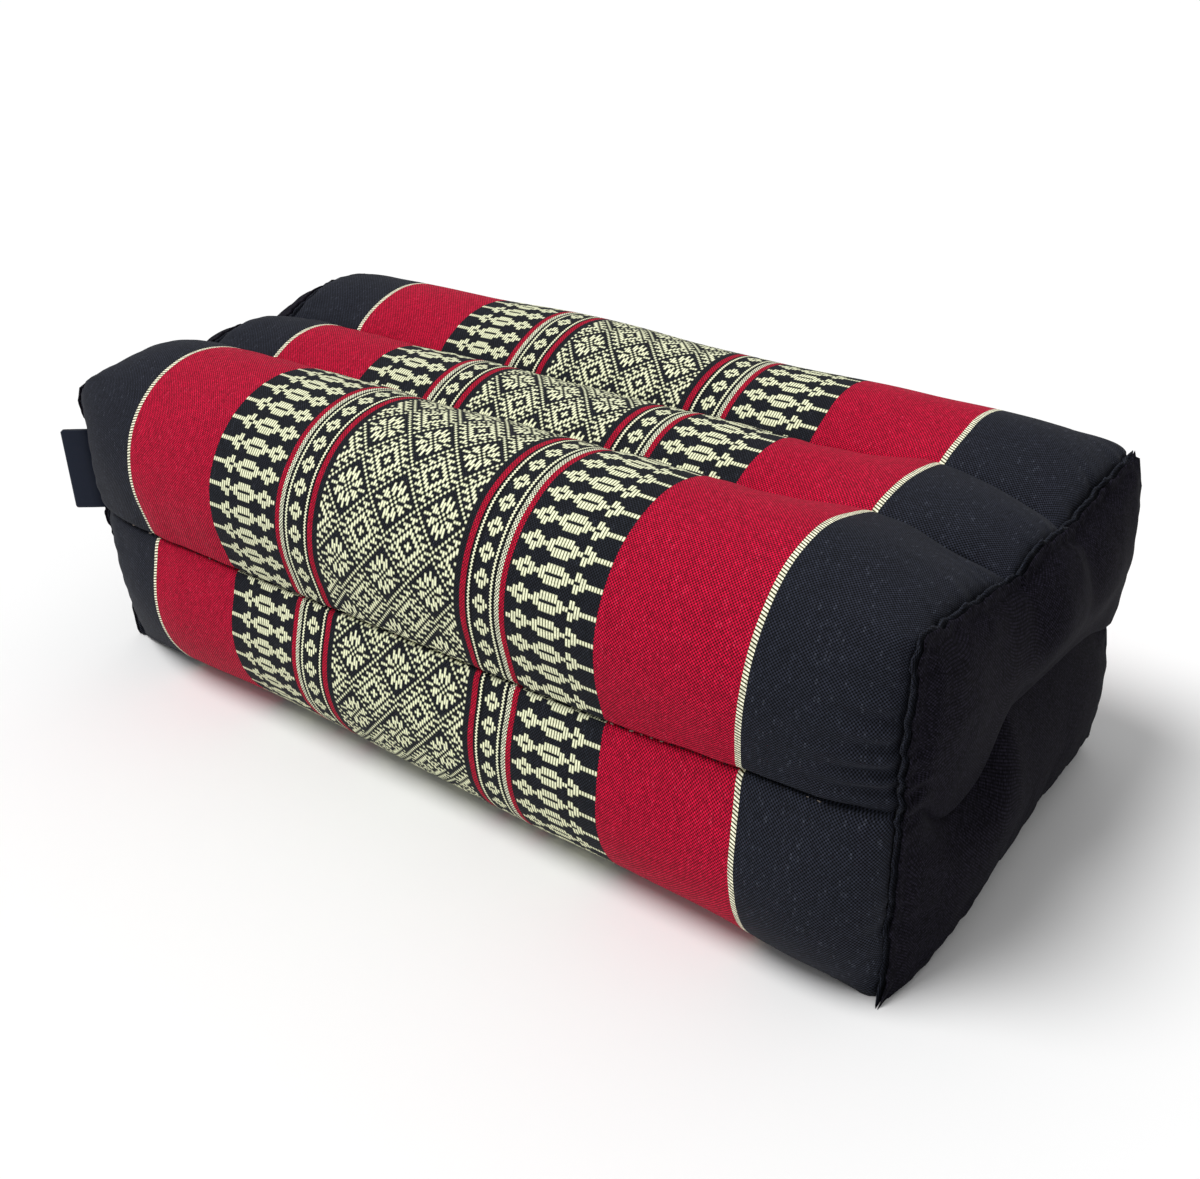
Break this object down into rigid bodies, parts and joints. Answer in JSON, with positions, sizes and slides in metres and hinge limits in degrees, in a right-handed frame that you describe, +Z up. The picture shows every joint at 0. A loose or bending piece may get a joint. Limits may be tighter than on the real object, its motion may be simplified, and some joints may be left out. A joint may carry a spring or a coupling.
{
  "type": "meditation cushion",
  "caption": "Firm block-shaped meditation cushion: stuffed channels side by side in a patterned wrap cloth, closed by dark sewn end panels with raised seams and a folded tab.",
  "frame": {"origin": "under the middle of the cushion, on the plane that it rests on", "axes": "+X along the cushion's length, away from the label; +Y to the back; +Z up"},
  "size_m": [0.366, 0.1768, 0.1176],
  "materials": {
    "wrap_cloth": "woven cotton, patterned middle, red bands and dark ends",
    "end_cloth": "plain black cotton twill",
    "label_tape": "smooth dark navy woven tape, plain"
  },
  "bodies": {
    "root": {"cushion": "wrap_cloth", "end_panel_left": "end_cloth", "end_panel_right": "end_cloth", "label": "label_tape"}
  },
  "joints": []
}
